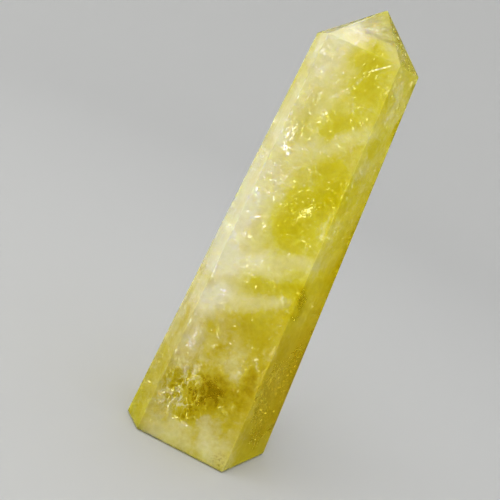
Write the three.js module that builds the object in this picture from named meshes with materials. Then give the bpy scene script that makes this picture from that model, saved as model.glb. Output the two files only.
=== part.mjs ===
import * as THREE from 'three';

// A cut and polished citrine tower: a six-sided prism that tapers upwards,
// a blunt six-facet point and a flat base to stand on.
// Millimetres, +Z up. The broad front facet faces -Y and the origin is the centre of the base.

// The six long facets, counter-clockwise seen from above.
//   azimuth   the way the facet faces, in degrees from -Y towards +X
//   reach     how far its plane stands from the axis at the base
//   lean      how many degrees it leans in towards the axis as it rises
//   shoulder  how high the edge that it shares with the next facet meets the point
const longFacets = [
  { side: 'front', azimuth: 0, reach: 20.0, lean: 3.3, shoulder: 159.5 },
  { side: 'front right', azimuth: 65.5, reach: 22.2, lean: 4.2, shoulder: 158.5 },
  { side: 'back right', azimuth: 130, reach: 25.7, lean: 3.9, shoulder: 159.0 },
  { side: 'back', azimuth: 183, reach: 19.0, lean: 2.6, shoulder: 159.5 },
  { side: 'back left', azimuth: 242.5, reach: 19.3, lean: 0.5, shoulder: 157.5 },
  { side: 'front left', azimuth: 309, reach: 28.7, lean: 2.4, shoulder: 159.0 },
];

// The tip stands a little left of the centre of the base, because the two right-hand facets lean most.
const tip = new THREE.Vector3(-5.6, 0.8, 174.0);

// The base's rim is eased so that it doesn't chip.
const baseBevel = 0.6;

const citrineYellow = 0xc8bd5a;

// A long facet cut at one height is a straight line in plan: normal . point = distance.
function facetLine(facet, height, inset) {
  const facing = THREE.MathUtils.degToRad(facet.azimuth);
  const lean = THREE.MathUtils.degToRad(facet.lean);
  return {
    normal: new THREE.Vector2(Math.sin(facing), -Math.cos(facing)),
    distance: facet.reach - height * Math.tan(lean) - inset,
  };
}

// Where the edge between a long facet and the next one passes a height.
function edgePoint(index, height, inset = 0) {
  const a = facetLine(longFacets[index], height, inset);
  const b = facetLine(longFacets[(index + 1) % longFacets.length], height, inset);
  const cross = a.normal.cross(b.normal);
  return new THREE.Vector3(
    (a.distance * b.normal.y - b.distance * a.normal.y) / cross,
    (b.distance * a.normal.x - a.distance * b.normal.x) / cross,
    height,
  );
}

// The crystal's corners, ring by ring, from the foot of the bevel to the shoulders.
function cornerRings() {
  return [
    longFacets.map((facet, index) => edgePoint(index, 0, baseBevel)),
    longFacets.map((facet, index) => edgePoint(index, baseBevel)),
    longFacets.map((facet, index) => edgePoint(index, facet.shoulder)),
  ];
}

// The whole surface as flat triangles: the base, the bevel, the long facets and the point.
function crystalGeometry() {
  const rings = cornerRings();
  const [foot] = rings;
  const shoulders = rings.at(-1);
  const count = longFacets.length;
  const corners = [];
  const addTriangle = (...points) => points.forEach((point) => corners.push(...point.toArray()));

  for (let i = 1; i < count - 1; i += 1) {
    addTriangle(foot[0], foot[i + 1], foot[i]);
  }
  for (let level = 0; level < rings.length - 1; level += 1) {
    const lower = rings[level];
    const upper = rings[level + 1];
    for (let i = 0; i < count; i += 1) {
      const next = (i + 1) % count;
      addTriangle(lower[i], lower[next], upper[next]);
      addTriangle(lower[i], upper[next], upper[i]);
    }
  }
  for (let i = 0; i < count; i += 1) {
    addTriangle(shoulders[i], shoulders[(i + 1) % count], tip);
  }

  const geometry = new THREE.BufferGeometry();
  geometry.setAttribute('position', new THREE.Float32BufferAttribute(corners, 3));
  return geometry;
}

// The origin goes to the centre of the footprint.
function centreOnFootprint(geometry) {
  geometry.computeBoundingBox();
  const centre = geometry.boundingBox.getCenter(new THREE.Vector3());
  geometry.translate(-centre.x, -centre.y, 0);
  geometry.computeVertexNormals();
  return geometry;
}

const citrine = new THREE.MeshStandardMaterial({ color: citrineYellow, roughness: 0.08, metalness: 0 });
const crystal = new THREE.Mesh(centreOnFootprint(crystalGeometry()), citrine);
crystal.name = 'crystal';

const obelisk = new THREE.Group();
obelisk.add(crystal);

export default obelisk;
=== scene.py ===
"""A polished citrine tower: one cut stone of yellow quartz, standing on its flat base."""

import math
import random

import bpy
from mathutils import Euler, Matrix, Vector


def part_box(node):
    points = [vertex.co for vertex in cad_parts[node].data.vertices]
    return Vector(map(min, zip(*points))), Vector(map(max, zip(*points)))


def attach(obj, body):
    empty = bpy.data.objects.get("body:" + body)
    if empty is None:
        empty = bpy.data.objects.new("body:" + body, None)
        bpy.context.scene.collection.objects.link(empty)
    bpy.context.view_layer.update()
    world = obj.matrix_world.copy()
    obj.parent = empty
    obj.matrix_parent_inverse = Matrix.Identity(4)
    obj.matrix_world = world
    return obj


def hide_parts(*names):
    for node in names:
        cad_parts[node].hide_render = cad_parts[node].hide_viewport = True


MM = 0.001

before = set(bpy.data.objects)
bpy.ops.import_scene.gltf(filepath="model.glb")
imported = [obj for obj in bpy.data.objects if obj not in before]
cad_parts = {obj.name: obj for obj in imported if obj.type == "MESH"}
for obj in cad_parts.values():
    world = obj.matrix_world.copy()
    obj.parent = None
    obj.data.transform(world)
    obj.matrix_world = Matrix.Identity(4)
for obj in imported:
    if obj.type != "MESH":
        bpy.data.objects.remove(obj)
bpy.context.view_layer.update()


# ---------------------------------------------------------------- camera

FRAME_SIDE = 500  # pixels
FOCAL_LENGTH = 828.5  # pixels
SENSOR_WIDTH = 36.0  # mm, as Blender wants it
CAMERA_AZIMUTH = math.radians(3.04)
CAMERA_ELEVATION = math.radians(16.21)
CAMERA_ROLL = math.radians(25.66)
CAMERA_DISTANCE = 307.4 * MM
AIM_HEIGHT = 76.8 * MM
AIM_SIDEWAYS = -12.36 * MM
NEAREST_SEEN = 10 * MM
FARTHEST_SEEN = 20  # metres


def add_camera():
    """The stone stands upright, and the rolled camera makes it lean to the right in the frame."""
    forward = Vector((
        -math.sin(CAMERA_AZIMUTH) * math.cos(CAMERA_ELEVATION),
        math.cos(CAMERA_AZIMUTH) * math.cos(CAMERA_ELEVATION),
        -math.sin(CAMERA_ELEVATION),
    ))
    level_right = Vector((math.cos(CAMERA_AZIMUTH), math.sin(CAMERA_AZIMUTH), 0))
    level_up = level_right.cross(forward)
    right = level_right * math.cos(CAMERA_ROLL) + level_up * math.sin(CAMERA_ROLL)
    up = level_up * math.cos(CAMERA_ROLL) - level_right * math.sin(CAMERA_ROLL)
    aim = Vector((0, 0, AIM_HEIGHT)) + level_right * AIM_SIDEWAYS
    place = aim - forward * CAMERA_DISTANCE

    camera = bpy.data.objects.new("camera", bpy.data.cameras.new("camera"))
    bpy.context.scene.collection.objects.link(camera)
    turned = Matrix((right, up, -forward)).transposed().to_4x4()
    camera.matrix_world = Matrix.Translation(place) @ turned
    camera.data.sensor_fit = "HORIZONTAL"
    camera.data.sensor_width = SENSOR_WIDTH
    camera.data.lens = FOCAL_LENGTH / FRAME_SIDE * SENSOR_WIDTH
    camera.data.clip_start = NEAREST_SEEN
    camera.data.clip_end = FARTHEST_SEEN
    bpy.context.scene.camera = camera


add_camera()


# ---------------------------------------------------------------- material tools

def linear(hex_colour):
    """An sRGB hex value as the linear colour that shaders take."""
    channels = [int(hex_colour[i:i + 2], 16) / 255 for i in (1, 3, 5)]
    curve = [c / 12.92 if c <= 0.04045 else ((c + 0.055) / 1.055) ** 2.4 for c in channels]
    return (*curve, 1.0)


def new_material(name):
    """An empty node material."""
    material = bpy.data.materials.new(name)
    material.use_nodes = True
    material.node_tree.nodes.clear()
    return material


def add_node(material, kind, settings=None, links=None):
    """Adds one node. Settings are its properties, or by socket name or number its inputs.
    Links bring other nodes' outputs to its inputs."""
    node = material.node_tree.nodes.new(kind)
    for key, value in (settings or {}).items():
        if isinstance(key, str) and key in node.bl_rna.properties:
            setattr(node, key, value)
        else:
            node.inputs[key].default_value = value
    for key, output in (links or {}).items():
        material.node_tree.links.new(output, node.inputs[key])
    return node


def millimetres(material):
    """Object coordinates in millimetres."""
    place = add_node(material, "ShaderNodeTexCoord")
    return add_node(material, "ShaderNodeVectorMath", {
        "operation": "SCALE",
        "Scale": 1 / MM,
    }, {0: place.outputs["Object"]}).outputs[0]


def drifted(material, place, size, reach):
    """A place pushed about by slow noise, so that what is drawn there has wandering edges."""
    noise = add_node(material, "ShaderNodeTexNoise", {
        "Scale": 1 / size,
        "Detail": 5.0,
    }, {"Vector": place})
    centred = add_node(material, "ShaderNodeVectorMath", {
        "operation": "SUBTRACT",
        1: (0.5, 0.5, 0.5),
    }, {0: noise.outputs["Color"]})
    pushed = add_node(material, "ShaderNodeVectorMath", {
        "operation": "MULTIPLY_ADD",
        1: (reach, reach, reach),
    }, {0: centred.outputs[0], 2: place})
    return pushed.outputs[0]


def folded(material, place):
    """The back half of the stone folded onto the front one: the bands of milk run right through,
    and climb towards the back."""
    part = add_node(material, "ShaderNodeSeparateXYZ", None, {0: place})
    off_middle = add_node(material, "ShaderNodeMath", {
        "operation": "ABSOLUTE",
    }, {0: part.outputs["Y"]})
    in_front = add_node(material, "ShaderNodeMath", {
        "operation": "MULTIPLY",
        1: -1.0,
    }, {0: off_middle.outputs[0]})
    behind = add_node(material, "ShaderNodeMath", {
        "operation": "MAXIMUM",
        1: 0.0,
    }, {0: part.outputs["Y"]})
    lowered = add_node(material, "ShaderNodeMath", {
        "operation": "MULTIPLY_ADD",
        1: -1.0,
    }, {0: behind.outputs[0], 2: part.outputs["Z"]})
    return add_node(material, "ShaderNodeCombineXYZ", None, {
        "X": part.outputs["X"],
        "Y": in_front.outputs[0],
        "Z": lowered.outputs[0],
    }).outputs[0]


def soft_patch(material, place, centre, reach, lean=0.0):
    """A soft-edged ellipsoid: 1 at its centre, 0 from its reach outwards.
    Lean, in degrees, tips it in the XZ plane."""
    local = add_node(material, "ShaderNodeMapping", {
        "vector_type": "TEXTURE",
        "Location": centre,
        "Rotation": (0, math.radians(-lean), 0),
        "Scale": reach,
    }, {"Vector": place})
    ball = add_node(material, "ShaderNodeTexGradient", {
        "gradient_type": "SPHERICAL",
    }, {"Vector": local.outputs[0]})
    return add_node(material, "ShaderNodeMapRange", {
        "interpolation_type": "SMOOTHSTEP",
    }, {"Value": ball.outputs["Fac"]}).outputs[0]


def haze(material, place, size, detail, roughness=0.6):
    """Cloudy noise, which seldom leaves 0.28 to 0.72, stretched to run from about -1 to 1."""
    noise = add_node(material, "ShaderNodeTexNoise", {
        "Scale": 1 / size,
        "Detail": detail,
        "Roughness": roughness,
    }, {"Vector": place})
    return add_node(material, "ShaderNodeMapRange", {
        "From Min": 0.28,
        "From Max": 0.72,
        "To Min": -1.0,
        "To Max": 1.0,
        "clamp": False,
    }, {"Value": noise.outputs["Fac"]}).outputs[0]


def crack_walls(material, place, size, width):
    """Walls between cells of this size: 1 in the middle of a wall, 0 from its width outwards."""
    cells = add_node(material, "ShaderNodeTexVoronoi", {
        "feature": "DISTANCE_TO_EDGE",
        "Scale": 1 / size,
    }, {"Vector": place})
    return add_node(material, "ShaderNodeMapRange", {
        "interpolation_type": "SMOOTHSTEP",
        "From Max": width / size,
        "To Min": 1.0,
        "To Max": 0.0,
    }, {"Value": cells.outputs["Distance"]}).outputs[0]


def summed(material, start, layers):
    """The start plus each layer: a pattern times its weight and, where one is given, its mask."""
    total = None
    for pattern, weight, *masks in layers:
        for mask in masks:
            pattern = add_node(material, "ShaderNodeMath", {
                "operation": "MULTIPLY",
            }, {0: pattern, 1: mask}).outputs[0]
        settings = {"operation": "MULTIPLY_ADD", 1: weight}
        links = {0: pattern}
        if total is None:
            settings[2] = start
        else:
            links[2] = total
        total = add_node(material, "ShaderNodeMath", settings, links).outputs[0]
    return total


# ---------------------------------------------------------------- the quartz

# Where the quartz is milky (strength above 0) or clear and deep (below 0):
# centre and reach in mm, lean in degrees, and strength.
MILK = (
    # the point
    ((-10, -4, 164), (15, 20, 9), 34, 0.48),       # cream cloud across the point
    ((-17, -9, 155), (10, 14, 15), 15, 0.34),
    ((3, -8, 163), (9, 14, 7), -30, 0.16),
    ((-4, -10, 157), (10, 14, 8), 10, -0.12),      # mottled yellow under it
    ((-20, -10, 138), (8, 14, 24), 5, 0.32),
    # upper part
    ((-11, -10, 145), (13, 13, 20), 10, 0.20),     # pale to the left
    ((-2, -10, 147), (13, 14, 13), -20, -0.17),    # clear
    ((-3, -12, 133), (10, 14, 9), -10, -0.18),
    ((11, -10, 148), (4, 12, 14), 15, 0.42),       # pale streak by the right arris
    ((17, -8, 153), (4, 10, 9), 0, -0.16),
    ((14, -11, 131), (5, 12, 9), -8, -0.30),       # deep yellow at the right
    ((-5.5, -12, 124.5), (24, 13, 7), 41, 0.20),   # pale band that rises to the right
    ((4, -12, 132), (10, 12, 4), 42, 0.10),
    ((12, -11, 122), (5, 12, 7), -30, 0.18),
    ((-18, -12, 122), (6, 12, 7), 0, 0.30),
    # middle
    # milk, and painted light on the lit left side: the white glow down the left arris
    ((-21, -10, 98), (13, 16, 46), 2, 0.50),       # white glow down the left arris
    ((-12, -12, 103), (9, 12, 28), 3, 0.24),
    ((-14, -14, 76), (12, 13, 30), -2, 0.12),
    ((-18, -13, 64), (7, 12, 42), -1, 0.30),
    ((-18, -12, 94), (6, 12, 34), -1, 0.18),
    ((-13, -14, 44), (13, 13, 24), 0, 0.12),
    ((4, -12, 118), (12, 14, 9), 10, -0.15),
    ((-2, -13, 98), (14, 14, 17), 8, -0.26),       # clear heart
    ((7, -13, 109), (10, 12, 10), 0, -0.24),
    ((11, -13, 88), (6, 12, 9), -35, 0.07),
    ((5, -13, 84), (11, 12, 5), 10, 0.16),         # upper cloud band
    ((-5, -14, 78), (12, 12, 8), 15, 0.34),
    ((-14, -14, 74), (12, 12, 9), 8, 0.36),
    ((-20, -14, 72), (6, 12, 9), 0, 0.30),
    ((-1, -14, 71), (11, 12, 4.5), 5, -0.16),      # olive gap
    ((8, -14, 75), (8, 12, 5), 10, -0.22),
    ((8, -14, 67), (9, 12, 4.5), 12, 0.30),        # lower cloud band
    ((-1, -14, 64), (9, 12, 5), 12, 0.20),
    ((-10, -15, 62), (11, 12, 7), 10, 0.28),
    ((-15, -15, 59), (6, 12, 8), 0, 0.34),
    # foot
    ((-19, -15, 56), (7, 12, 9), 0, 0.32),
    ((6, -15, 56), (14, 14, 8), 0, -0.12),
    ((13, -14, 70), (6, 12, 13), 0, -0.32),
    ((-12, -16, 49), (5, 12, 4), 20, -0.12),
    ((-4, -16, 44), (6, 12, 5), 0, -0.12),
    ((-17, -15, 38), (8, 12, 14), 0, 0.20),
    ((1, -16, 41), (6, 12, 15), 19, 0.22),         # pale column
    ((-3, -17, 26), (11, 15, 14), -12, -0.46),     # olive patch
    ((-7, -17, 15), (6, 12, 8), -15, -0.30),
    ((-14, -17, 24), (10, 13, 8), 10, -0.28),
    ((9, -15, 34), (8, 12, 20), 0, -0.26),
    ((4.5, -19, 9), (5, 12, 15), 23, 0.26),        # cream column above the foot
    ((12, -18, 6), (10, 14, 9), -10, 0.20),        # pale foot
    ((-9, -18, 4), (16, 14, 9), 0, 0.26),
    # right facets: painted shade, deep and clean where light reaches them only through the stone,
    # and painted light, lighter low down
    ((24, 0, 60), (14, 50, 110), 0, -0.27),
    ((22, -4, 54), (9, 24, 30), 0, 0.10),          # lighter low down
    # left facet, milk white, and painted light where the left side is lit
    ((-27, -2, 84), (10, 16, 95), 0, 0.37),
    ((-26, -6, 48), (7, 14, 34), 0, 0.30),
)

# Veils of healed cracks, thin and ragged, in the same terms.
VEILS = (
    ((-3.4, -11, 149.5), (3.6, 6, 0.9), 62, 0.14),
    ((-6.8, -12, 143.5), (6, 8, 1.2), 46, 0.12),
    ((11.3, -9, 148), (1.0, 8, 8), 15, 0.26),
    ((-16.6, -12, 124), (1.8, 6, 3.2), 3, 0.12),     # white flashes
    ((-15.6, -12, 118.4), (1.8, 6, 2.8), 35, 0.12),
    ((0, -13, 101.5), (3.0, 6, 5.4), -24, 0.14),     # fleck cluster
    ((-11.8, -14, 109), (1.0, 7, 9), -24, 0.16),
    ((8.5, -13, 100), (1.0, 7, 9), 4, 0.18),
    ((2.4, -13, 92), (1.2, 7, 6), -30, 0.16),
    ((6.4, -15, 70), (0.8, 7, 4), 35, 0.20),
    ((-13.9, -15, 62.6), (1.2, 5, 2.6), 32, 0.20),
    ((9, -16, 44), (1.2, 7, 5), 30, 0.16),
    ((-15.4, -16, 41), (3.0, 7, 8), 7, 0.16),
)

EVEN_MILK = 0.45  # what the quartz has between the patches


def cloud_layers(material, place, wandering):
    """Clouds, puffs and combed streaks of milk."""
    combed = add_node(material, "ShaderNodeMapping", {
        "Rotation": (0, math.radians(50), 0),
        "Scale": (1, 1, 0.28),
    }, {"Vector": drifted(material, place, size=9, reach=5)})
    return [
        (haze(material, wandering, size=22, detail=5), 0.05),
        (haze(material, wandering, size=6.5, detail=5), 0.03),
        (haze(material, combed.outputs[0], size=3, detail=4), 0.03),
    ]


def crack_layers(material, place, ragged):
    """Wide faint veils, broken threads, the long needle, and the cobweb above the foot."""
    veils = crack_walls(material, drifted(material, place, size=8, reach=9), size=9, width=1.1)
    threads = crack_walls(material, drifted(material, place, size=4, reach=7), size=6.5, width=0.8)
    broken = add_node(material, "ShaderNodeMath", {
        "operation": "MULTIPLY",
        "use_clamp": True,
    }, {0: threads, 1: haze(material, ragged, size=5, detail=3)})
    needle = soft_patch(material, place, (0.8, -11, 155.6), (4.4, 9, 0.42), lean=41)
    drawn_out = add_node(material, "ShaderNodeMapping", {
        "Rotation": (0, math.radians(12), 0),
        "Scale": (1, 1, 0.5),
    }, {"Vector": drifted(material, place, size=4, reach=7)}).outputs[0]
    above_foot = soft_patch(material, ragged, (-11, -18, 22), (14, 14, 18))
    return [
        (veils, 0.04),
        (broken.outputs[0], 0.08),
        (needle, 0.3),
        (crack_walls(material, drawn_out, size=4.4, width=0.6), 0.30, above_foot),
        (crack_walls(material, drawn_out, size=2.4, width=0.45), 0.20, above_foot),
    ]


def fine_layers(material, place, wandering):
    """Mottles low on the front, growth lines up the left facet, and a fine grain all over."""
    mottles = haze(material, drifted(material, place, size=5, reach=5), size=2.8, detail=4)
    low_front = soft_patch(material, wandering, (0, -16, 24), (38, 40, 44))
    upright = add_node(material, "ShaderNodeMapping", {
        "Scale": (1, 1, 0.05),
    }, {"Vector": place})
    growth = haze(material, upright.outputs[0], size=2.2, detail=3)
    left_facet = soft_patch(material, place, (-27, -8, 100), (10, 18, 110))
    return [
        (mottles, 0.12, low_front),
        (growth, 0.30, left_facet),
        (haze(material, place, size=1.5, detail=3, roughness=0.7), 0.03),
    ]


def milkiness(material, place):
    """How milky the quartz is at a place, from 0, clear and deep, to 1, white."""
    wandering = folded(material, drifted(material, place, size=20, reach=10))
    wandering = drifted(material, wandering, size=6, reach=4.5)
    ragged = drifted(material, place, size=2.5, reach=2.2)
    layers = []
    for space, patches in ((wandering, MILK), (ragged, VEILS)):
        for centre, reach, lean, strength in patches:
            layers.append((soft_patch(material, space, centre, reach, lean), strength))
    layers += cloud_layers(material, place, wandering)
    layers += crack_layers(material, place, ragged)
    layers += fine_layers(material, place, wandering)
    total = summed(material, EVEN_MILK, layers)
    return add_node(material, "ShaderNodeClamp", None, {"Value": total}).outputs[0]


# The quartz's colour for each milkiness.
CITRINE_SHADES = (
    (0.0, "#977f03"),   # clear and deep
    (0.12, "#b49e08"),
    (0.25, "#cfc016"),
    (0.42, "#ded344"),
    (0.6, "#e9e094"),
    (0.8, "#f3ebbc"),
    (1.0, "#fcf5dc"),   # white
)


# How much the smoke darkens, from 0 to 1.
SMOKE_ALL_OVER = 0.05
SMOKE_WISPS = 0.11
SMOKE_SPECKS = 0.8


def smokiness(material, place):
    """Faint smoky wisps all over, and a few dark specks in the corner of the foot."""
    wisps = haze(material, drifted(material, place, size=4, reach=4), size=2.4, detail=5)
    smoke = add_node(material, "ShaderNodeMath", {
        "operation": "MULTIPLY_ADD",
        "use_clamp": True,
        1: SMOKE_WISPS,
        2: SMOKE_ALL_OVER,
    }, {0: wisps})
    corner = soft_patch(material, place, (12.5, -18, 3), (7, 12, 6))
    specks = add_node(material, "ShaderNodeMath", {
        "operation": "MULTIPLY",
        "use_clamp": True,
    }, {0: haze(material, place, size=0.9, detail=2), 1: corner})
    return add_node(material, "ShaderNodeMath", {
        "operation": "MULTIPLY_ADD",
        1: SMOKE_SPECKS,
    }, {0: specks.outputs[0], 2: smoke.outputs[0]}).outputs[0]


def painted_low_shade(material, place, milk):
    """How clear the quartz is in its lower part, where painted shade makes it darker and browner
    towards the bottom.
    """
    low_part = soft_patch(
        material, drifted(material, place, size=20, reach=14), (2, -10, 32), (60, 60, 54))
    clear = add_node(material, "ShaderNodeMath", {
        "operation": "SUBTRACT",
        0: 1.0,
    }, {1: milk})
    return add_node(material, "ShaderNodeMath", {
        "operation": "MULTIPLY",
    }, {0: low_part, 1: clear.outputs[0]}).outputs[0]


def citrine_material():
    """Citrine: quartz coloured yellow by traces of iron, cut and polished to a glassy gloss.
    Most of what the eye gets comes through it, and the rest is light spread by its fine milk."""
    material = new_material("polished_citrine")
    place = millimetres(material)
    milk = milkiness(material, place)
    tinted = add_node(material, "ShaderNodeValToRGB", None, {"Fac": milk})
    ramp = tinted.color_ramp
    ramp.elements.remove(ramp.elements[-1])
    ramp.elements[0].color = linear(CITRINE_SHADES[0][1])
    for position, shade in CITRINE_SHADES[1:]:
        ramp.elements.new(position).color = linear(shade)
    # painted shade: the right side tinted deeper and warmer, for light that reaches it through the
    # stone
    right_side_painted_shade = soft_patch(material, place, (26, 4, 60), (22, 60, 120))
    colour = tinted.outputs["Color"]
    for where, tone in (
        # painted shade: darker and browner towards the bottom
        (painted_low_shade(material, place, milk), "#d4bcaa"),
        (smokiness(material, place), "#9a924e"),
        (right_side_painted_shade, "#fff1d2"),
    ):
        colour = add_node(material, "ShaderNodeMix", {
            "data_type": "RGBA",
            "blend_type": "MULTIPLY",
            7: linear(tone),
        }, {0: where, 6: colour}).outputs[2]
    body = add_node(material, "ShaderNodeBsdfPrincipled", {
        "Roughness": 0.02,
        "IOR": 1.544,
        "Specular Tint": linear("#fff8c4"),
        "Transmission Weight": 0.8,
        "Subsurface Weight": 1.0,
        "Subsurface Radius": (1.0, 0.9, 0.35),
        "Subsurface Scale": 9 * MM,
    }, {"Base Color": colour})
    depth = add_node(material, "ShaderNodeVolumeAbsorption", {
        "Color": linear("#ecf08a"),
        "Density": 24.0,
    })
    add_node(material, "ShaderNodeOutputMaterial", None, {
        "Surface": body.outputs[0],
        "Volume": depth.outputs[0],
    })
    return material


def flake_material():
    """The walls of tiny healed cracks: they mirror light out of the stone as pale sparks.
    Their glow is painted glints: a glow of their own stands for that mirrored light."""
    material = new_material("healed_crack_painted_glint")
    spark = add_node(material, "ShaderNodeBsdfPrincipled", {
        "Base Color": linear("#fdfbe8"),
        "Roughness": 0.3,
        # painted glints: the flakes glow pale blue-white in place of mirrored lamp light
        "Emission Color": linear("#c9cefa"),
        "Emission Strength": 1.9,
    })
    add_node(material, "ShaderNodeOutputMaterial", None, {"Surface": spark.outputs[0]})
    return material


def milk_material():
    """Milk in quartz: walls of tiny pores that spread light evenly, so they look white."""
    material = new_material("quartz_milk")
    white = add_node(material, "ShaderNodeBsdfPrincipled", {
        "Base Color": linear("#fffdf5"),
        "Roughness": 1.0,
        "Specular IOR Level": 0.0,
    })
    add_node(material, "ShaderNodeOutputMaterial", None, {"Surface": white.outputs[0]})
    return material


def studio_material():
    """Matt painted studio sweep: pale, so it lights the stone from all round."""
    material = new_material("studio_sweep")
    paint = add_node(material, "ShaderNodeBsdfPrincipled", {
        "Base Color": linear("#cbcbc9"),
        "Roughness": 0.9,
    })
    add_node(material, "ShaderNodeOutputMaterial", None, {"Surface": paint.outputs[0]})
    return material


# ---------------------------------------------------------------- the stone

SAME_CORNER = 0.01 * MM
SAME_FACET = math.radians(0.5)
ARRIS_WIDTH = 0.2 * MM
ARRIS_ANGLE = math.radians(10)


def select_only(*pieces):
    """Selects these pieces alone and makes the first one active."""
    bpy.ops.object.select_all(action="DESELECT")
    for piece in pieces:
        piece.select_set(True)
    bpy.context.view_layer.objects.active = pieces[0]


def facet_planes(stone):
    """A point and the outward normal of each facet."""
    return [(face.center.copy(), face.normal.copy()) for face in stone.data.polygons]


def cut_stone():
    """The stone with its corners merged and every arris eased by the polishing wheel,
    and the planes of its facets."""
    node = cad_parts["crystal"]
    stone = bpy.data.objects.new("citrine_tower", node.data.copy())
    bpy.context.scene.collection.objects.link(stone)
    stone.data.materials.clear()
    select_only(stone)
    bpy.ops.object.mode_set(mode="EDIT")
    bpy.ops.mesh.select_all(action="SELECT")
    bpy.ops.mesh.remove_doubles(threshold=SAME_CORNER)
    bpy.ops.mesh.dissolve_limited(angle_limit=SAME_FACET)
    bpy.ops.object.mode_set(mode="OBJECT")
    bpy.ops.object.shade_flat()
    planes = facet_planes(stone)
    arris = stone.modifiers.new("arris", "BEVEL")
    arris.width = ARRIS_WIDTH
    arris.segments = 2
    arris.limit_method = "ANGLE"
    arris.angle_limit = ARRIS_ANGLE
    bpy.ops.object.modifier_apply(modifier="arris")
    stone.data.materials.append(citrine_material())
    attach(stone, "root")
    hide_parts("crystal")
    return stone, planes


stone, planes = cut_stone()


# ---------------------------------------------------------------- inclusions

INCLUSION_SEED = 11
FACES_FRONT = -0.05  # where a normal's Y is below this


def within(point, margin):
    """True where a point lies inside every facet by more than the margin."""
    return all((point - centre).dot(normal) < -margin for centre, normal in planes)


def under_front(x, z, depth):
    """The point at this X and Z that lies this deep under the front-facing facets. All in mm."""
    best = None
    for centre, normal in planes:
        if normal.y < FACES_FRONT:
            slope = (x * MM - centre.x) * normal.x + (z * MM - centre.z) * normal.z
            y = centre.y - slope / normal.y
            if best is None or y > best[0]:
                best = (y, normal)
    y, normal = best
    return Vector((x * MM, y, z * MM)) - normal * depth * MM


def copy_of(pattern, scale, turn, place):
    """A copy of the pattern, with a mesh of its own, scaled, turned and placed."""
    copy = pattern.copy()
    copy.data = pattern.data.copy()
    bpy.context.scene.collection.objects.link(copy)
    copy.scale = scale
    copy.rotation_euler = turn
    copy.location = place
    return copy


def join(pieces, name):
    """The pieces as one, with its place in its mesh."""
    select_only(*pieces)
    bpy.ops.object.transform_apply(location=True, rotation=True, scale=True)
    bpy.ops.object.join()
    whole = bpy.context.object
    whole.name = name
    whole.data.name = name
    return whole


# Cracks that catch the light, as chains of flakes just under the front facet:
# X and Z of each end, depth, sideways spread and size of flake in mm, then how many flakes.
CRACKS = (
    ((3.8, 158.2), (-2.1, 153.1), 0.8, 0.22, 0.11, 46),     # the long needle
    ((-2.1, 153.1), (-4.3, 146.0), 1.2, 0.9, 0.10, 16),
    ((-4.3, 146.0), (-10.0, 140.0), 1.4, 1.3, 0.09, 18),
    ((-9.7, 135.5), (-8.9, 131.0), 0.8, 1.0, 0.11, 26),
    ((-5.5, 133.0), (-6.8, 130.0), 0.8, 0.3, 0.08, 8),
    ((-13.2, 140.8), (-13.6, 139.4), 0.6, 0.3, 0.12, 6),
    ((-13.8, 133.0), (-12.8, 132.0), 0.6, 0.2, 0.12, 6),
    ((-16.6, 126.8), (-16.2, 122.4), 0.8, 1.3, 0.22, 26),   # white flashes
    ((-16.8, 119.6), (-14.2, 116.6), 0.8, 1.1, 0.20, 22),
    ((9.6, 153.0), (9.4, 150.5), 0.8, 0.3, 0.10, 8),
    ((11.5, 143.5), (11.2, 140.0), 0.7, 0.4, 0.13, 12),
    ((12.0, 142.0), (13.4, 138.0), 0.7, 0.4, 0.08, 12),
    ((1.8, 105.3), (-1.9, 97.8), 0.7, 2.2, 0.13, 80),       # fleck cluster
    ((1.9, 105.6), (0.4, 101.8), 0.8, 0.3, 0.10, 16),
    ((-12.3, 101.8), (-11.6, 99.8), 0.6, 0.2, 0.14, 7),
    ((-10.5, 92.0), (-10.9, 89.5), 0.6, 0.2, 0.13, 7),
    ((2.4, 96.0), (1.6, 94.0), 0.7, 0.3, 0.09, 7),
    ((8.6, 107.0), (9.6, 103.0), 0.7, 0.4, 0.09, 14),
    ((11.8, 101.6), (12.6, 99.0), 0.6, 0.4, 0.12, 8),
    ((12.6, 92.5), (11.4, 91.2), 0.6, 0.2, 0.10, 7),
    ((5.2, 93.6), (5.4, 88.5), 0.8, 0.3, 0.08, 12),
    ((-4.2, 70.0), (-3.8, 69.2), 0.5, 0.15, 0.20, 5),       # sparks
    ((-14.6, 63.8), (-13.2, 61.6), 0.6, 0.9, 0.11, 18),
    ((4.0, 80.0), (6.4, 77.6), 0.9, 0.3, 0.07, 14),
    ((-4.3, 53.7), (-5.0, 52.9), 0.5, 0.2, 0.14, 6),
    ((7.5, 46.5), (10.4, 42.2), 0.6, 0.7, 0.10, 22),
    ((12.0, 44.0), (12.6, 34.0), 0.6, 0.4, 0.09, 26),
    ((4.2, 38.8), (3.4, 35.6), 0.6, 0.4, 0.10, 12),
    ((-12.6, 48.0), (-13.2, 43.0), 0.8, 0.6, 0.08, 16),
    ((-16.4, 46.0), (-15.2, 36.0), 0.7, 0.9, 0.09, 26),
    ((-5.5, 23.2), (-4.9, 20.4), 0.5, 0.2, 0.15, 12),
)

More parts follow.
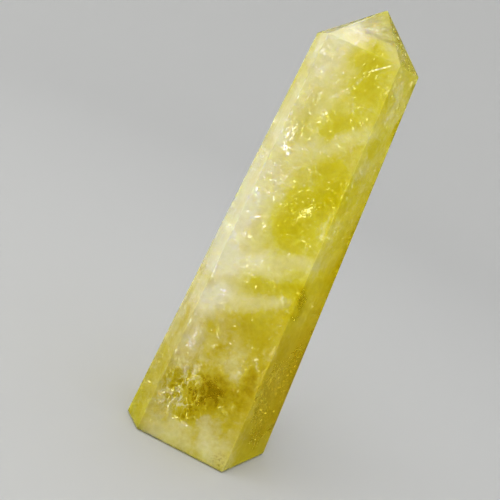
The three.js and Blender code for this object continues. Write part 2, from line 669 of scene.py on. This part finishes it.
# The cobweb of healed cracks above the foot: X and Z of each thread's points in mm.
THREADS = (
    ((-19.0, 30.0), (-16.4, 29.4), (-14.2, 30.6), (-11.2, 32.2), (-8.6, 34.6)),
    ((-11.2, 32.2), (-9.8, 29.2), (-8.0, 27.2), (-7.4, 23.6), (-6.6, 21.0)),
    ((-18.6, 21.6), (-16.8, 20.2), (-14.6, 21.4), (-13.0, 23.8), (-11.8, 26.6)),
    ((-17.6, 17.2), (-18.0, 14.8), (-16.4, 13.6), (-15.2, 16.0), (-14.6, 21.4)),
    ((-13.4, 12.6), (-13.8, 15.6), (-12.4, 18.8), (-11.6, 22.6)),
    ((-11.4, 21.0), (-8.8, 20.2), (-6.8, 16.8), (-5.6, 13.0), (-5.0, 10.4)),
    ((-10.8, 10.2), (-8.4, 11.4), (-6.0, 10.0), (-3.6, 10.8), (-1.8, 9.4)),
    ((-5.6, 13.0), (-3.2, 15.2), (-1.6, 14.0)),
    ((-9.8, 29.2), (-11.8, 26.6), (-10.6, 24.0)),
)

# Sparks scattered under the facets.
SPARKS = 1700
SPARK_SIZE = 0.12         # mm
SPARK_VARIETY = 0.35      # of sizes: what varies is their logarithm
SPARK_STRETCH = (1.5, 4.5)
SPARK_TILT = 0.6          # radians off the front
SPARK_SLOPE = (50, 30)    # degrees, middle and spread: most rise to the right
SPARKS_FROM = 0.4 * MM    # under the surface
SPARKS_TO = 4 * MM
CLEAN_SIDE = 12 * MM      # to the right of it sparks are few
CLEAN_FOOT = 9 * MM       # and so are they below this height
CLEAN_SHARE = 0.9         # of the sparks there are left out

# Flakes strung along cracks and threads.
CHAIN_FLAKE = 0.85        # of the size that the table gives
CHAIN_DEEPER = (-0.3, 0.5)  # mm than the depth that it gives
CHAIN_VARIETY = 0.4
CHAIN_STRETCH = (1.2, 3)
CHAIN_WOBBLE = 0.5        # radians about the chain's slope
THREAD_FLAKE = 0.075      # mm, as are the next five
THREAD_STEP = 0.36
THREAD_DEPTH = 0.8
THREAD_DEEPER = (-0.2, 0.6)
THREAD_BOW = 0.35
THREAD_FRAY = 0.09


def scattered_sparks(chance):
    """Place, size in mm, stretch and turn of the sparks scattered under the facets."""
    low, high = (Vector(corner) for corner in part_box("crystal"))
    sparks = []
    while len(sparks) < SPARKS:
        point = Vector([chance.uniform(a, b) for a, b in zip(low, high)])
        clean = point.x > CLEAN_SIDE or point.z < CLEAN_FOOT
        if clean and chance.random() < CLEAN_SHARE:
            continue
        if within(point, SPARKS_FROM) and not within(point, SPARKS_TO):
            size = SPARK_SIZE * math.exp(chance.gauss(0.0, SPARK_VARIETY))
            slope = math.radians(chance.gauss(*SPARK_SLOPE))
            nod = math.pi / 2 + chance.gauss(0, SPARK_TILT)
            turn = Euler((nod, -slope, chance.gauss(0, SPARK_TILT)))
            sparks.append((point, size, chance.uniform(*SPARK_STRETCH), turn))
    return sparks


def strung_flake(chance, point, size, slope, tilt):
    """Place, size in mm, stretch and turn of one flake in a chain that runs at this slope."""
    nod = math.pi / 2 + chance.gauss(0, tilt)
    turn = Euler((nod, -slope + chance.gauss(0, CHAIN_WOBBLE), 0))
    size *= math.exp(chance.gauss(0, CHAIN_VARIETY))
    return point, size, chance.uniform(*CHAIN_STRETCH), turn


def crack_chains(chance):
    """Flakes strung along the larger cracks."""
    chains = []
    for start, end, depth, spread, size, count in CRACKS:
        along = Vector((end[0] - start[0], end[1] - start[1]))
        slope = math.atan2(along.y, along.x)
        for _ in range(count):
            share = chance.random()
            point = under_front(
                start[0] + along.x * share + chance.gauss(0, spread / 2),
                start[1] + along.y * share + chance.gauss(0, spread / 2),
                depth + chance.uniform(*CHAIN_DEEPER))
            chains.append(strung_flake(chance, point, CHAIN_FLAKE * size, slope, tilt=0.4))
    return chains


def cobweb(chance):
    """Small flakes strung along each thread, which bows a little between its points."""
    web = []
    for thread in THREADS:
        for start, end in zip(thread, thread[1:]):
            along = Vector((end[0] - start[0], end[1] - start[1]))
            slope = math.atan2(along.y, along.x)
            steps = max(3, round(along.length / THREAD_STEP))
            bow = chance.gauss(0, THREAD_BOW)
            for step in range(steps):
                share = (step + chance.random()) / steps
                lift = bow * math.sin(math.pi * share) + chance.gauss(0, THREAD_FRAY)
                point = under_front(
                    start[0] + along.x * share - math.sin(slope) * lift,
                    start[1] + along.y * share + math.cos(slope) * lift,
                    THREAD_DEPTH + chance.uniform(*THREAD_DEEPER))
                web.append(strung_flake(chance, point, THREAD_FLAKE, slope, tilt=0.3))
    return web


def flakes():
    """Small flakes of healed crack. Those that would stick out of the stone are left out."""
    chance = random.Random(INCLUSION_SEED)
    found = scattered_sparks(chance) + crack_chains(chance) + cobweb(chance)
    bpy.ops.mesh.primitive_circle_add(vertices=6, radius=1, fill_type="TRIFAN")
    pattern = bpy.context.object
    pieces = []
    for point, size, stretch, turn in found:
        if within(point, size * stretch * MM):
            scale = (size * stretch * MM, size * MM, size * MM)
            pieces.append(copy_of(pattern, scale, turn, point))
    bpy.data.objects.remove(pattern)
    joined = join(pieces, "crack_flakes")
    joined.data.materials.append(flake_material())
    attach(joined, "root")
    return joined


# Clouds of milk: middle, spread and how many puffs. All in mm.
CLOUDS = (
    ((-9, -3, 162), (4, 4, 4), 30),      # in the point
    ((-13, -2, 150), (4, 6, 8), 16),
    ((-16, -4, 112), (3, 6, 26), 34),    # behind the left arris
    ((-17, -6, 64), (3, 4, 16), 56),
    ((0, -3, 78), (9, 5, 3), 18),        # the two cloud bands
    ((0, -5, 62), (9, 5, 3), 16),
    ((3, -4, 8), (13, 7, 4), 30),        # above the foot
)
PUFF_RADIUS = 3.0    # mm
PUFF_SIZES = (0.6, 1.2)
PUFF_GRAINS = 60
PUFF_SPREAD = 0.45   # of its radius
PUFF_EDGE = 0.95
GRAIN_RADIUS = 0.22  # mm, far coarser than real milk, so that it shows
GRAIN_VARIETY = 0.3


def any_turn(chance):
    """A turn that favours no direction."""
    return Euler([chance.uniform(0, math.tau) for _ in range(3)])


def puff_of_milk(chance):
    """A ball of loose grains, 1 in radius, thickest in the middle."""
    bpy.ops.mesh.primitive_circle_add(vertices=5, radius=1, fill_type="NGON")
    pattern = bpy.context.object
    grains = []
    while len(grains) < PUFF_GRAINS:
        point = Vector([chance.gauss(0, PUFF_SPREAD) for _ in range(3)])
        if point.length > PUFF_EDGE:
            continue
        radius = GRAIN_RADIUS / PUFF_RADIUS * math.exp(chance.gauss(0, GRAIN_VARIETY))
        grains.append(copy_of(pattern, [radius] * 3, any_turn(chance), point))
    bpy.data.objects.remove(pattern)
    return join(grains, "puff")


def milk():
    """Milk: grains too fine to see one by one, drawn as coarse as they need to be to show."""
    chance = random.Random(INCLUSION_SEED)
    pattern = puff_of_milk(chance)
    puffs = []
    for middle, spread, count in CLOUDS:
        made = 0
        while made < count:
            point = Vector([chance.gauss(m, s) for m, s in zip(middle, spread)]) * MM
            radius = PUFF_RADIUS * chance.uniform(*PUFF_SIZES) * MM
            if within(point, radius):
                puffs.append(copy_of(pattern, [radius] * 3, any_turn(chance), point))
                made += 1
    bpy.data.objects.remove(pattern)
    joined = join(puffs, "milk_grains")
    joined.data.materials.append(milk_material())
    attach(joined, "root")
    return joined


grains = milk()
sparks = flakes()


# ---------------------------------------------------------------- studio

FLOOR_GAP = 0.2 * MM  # of air under the polished base, which mirrors light back up
FLOOR_RADIUS = 0.55   # metres, as are the next three
CURVE_RADIUS = 0.75
WALL_HEIGHT = 0.5
STONE_MIDDLE = (0, 0, 0.09)
CURVE_STEPS = 24
AIR_LIGHT = 1.09


def studio_sweep():
    """A round floor that curves up into a wall, so no horizon shows from any side."""
    bpy.ops.mesh.primitive_circle_add(
        vertices=128, radius=FLOOR_RADIUS, fill_type="NGON", location=(0, 0, -FLOOR_GAP))
    sweep = bpy.context.object
    sweep.name = "studio_sweep"
    bpy.ops.object.mode_set(mode="EDIT")
    bpy.ops.mesh.select_all(action="SELECT")
    radius = FLOOR_RADIUS
    height = 0
    for step in range(1, CURVE_STEPS + 1):
        turn = step / CURVE_STEPS * math.pi / 2
        next_radius = FLOOR_RADIUS + CURVE_RADIUS * math.sin(turn)
        next_height = CURVE_RADIUS * (1 - math.cos(turn))
        bpy.ops.mesh.extrude_region_move(
            TRANSFORM_OT_translate={"value": (0, 0, next_height - height)})
        bpy.ops.transform.resize(value=(next_radius / radius, next_radius / radius, 1))
        radius = next_radius
        height = next_height
    bpy.ops.mesh.extrude_region_move(TRANSFORM_OT_translate={"value": (0, 0, WALL_HEIGHT)})
    bpy.ops.mesh.delete(type="ONLY_FACE")
    bpy.ops.object.mode_set(mode="OBJECT")
    bpy.ops.object.shade_smooth()
    sweep.data.materials.append(studio_material())
    sweep.visible_glossy = False
    return sweep


def softbox(name, place, width, height, power, only=None):
    """A soft lamp that points at the stone and that the camera doesn't see. It may light only the
    pieces of one collection, and then it doesn't show in the stone either."""
    light = bpy.data.lights.new(name, "AREA")
    light.shape = "RECTANGLE"
    light.size = width
    light.size_y = height
    light.energy = power
    lamp = bpy.data.objects.new(name, light)
    bpy.context.scene.collection.objects.link(lamp)
    lamp.visible_camera = False
    lamp.location = place
    towards = Vector(STONE_MIDDLE) - Vector(place)
    lamp.rotation_euler = towards.to_track_quat("-Z", "Y").to_euler()
    if only:
        lamp.light_linking.receiver_collection = only
        lamp.visible_glossy = False
        lamp.visible_transmission = False
    return lamp


def light_studio(*pieces):
    """Soft light all round, one large lamp above, and three lamps, from the left, the right and
    behind, that fill the stone alone, so the floor stays even."""
    world = bpy.data.worlds.new("studio_air")
    bpy.context.scene.world = world
    world.use_nodes = True
    air = world.node_tree.nodes["Background"]
    air.inputs["Color"].default_value = linear("#f4f5f7")
    air.inputs["Strength"].default_value = AIR_LIGHT
    world.cycles_visibility.glossy = False
    filled = bpy.data.collections.new("filled_with_light")
    for piece in pieces:
        filled.objects.link(piece)
    softbox("top", (-0.5, -0.5, 1.2), width=1.0, height=1.0, power=6)
    for name, place, power in (
        ("key_left", (-0.72, -0.62, 0.22), 47),
        ("back", (-0.15, 0.95, 0.3), 40),
        ("fill_right", (0.9, -0.5, 0.22), 54),
    ):
        softbox(name, place, width=1.6, height=0.5, power=power, only=filled)


studio_sweep()
light_studio(stone, grains, sparks)
bpy.context.scene.view_settings.view_transform = "Standard"
